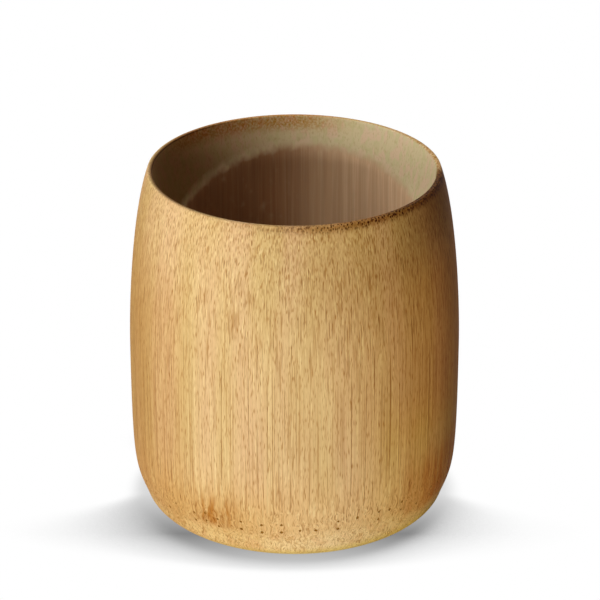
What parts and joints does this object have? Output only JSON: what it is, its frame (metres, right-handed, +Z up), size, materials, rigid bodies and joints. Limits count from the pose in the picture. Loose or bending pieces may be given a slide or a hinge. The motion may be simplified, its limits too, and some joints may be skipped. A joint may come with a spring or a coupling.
{
  "type": "bamboo cup",
  "caption": "Barrel-shaped drinking cup turned from one bamboo culm section, with the culm's node as its floor, a rounded heel and a thin bevelled lip.",
  "frame": {"origin": "on the table plane, on the axis that the cup was turned about", "axes": "+Z up along the turning axis towards the lip; +Y is the back, where the culm wall is thinnest; the node rises towards +X"},
  "size_m": [0.08, 0.08, 0.0874],
  "materials": {
    "turned_bamboo": "turned across the fibres, sanded, clear satin finish",
    "pith_skin": "natural matte inner skin with fine lengthwise lines",
    "node_wood": "satin, tangled node fibres",
    "root_trace": "satin dark end grain"
  },
  "bodies": {
    "root": {"culm_wall": "turned_bamboo", "pith_lining": "pith_skin", "node_diaphragm": "node_wood", "root_traces": "root_trace"}
  },
  "joints": []
}
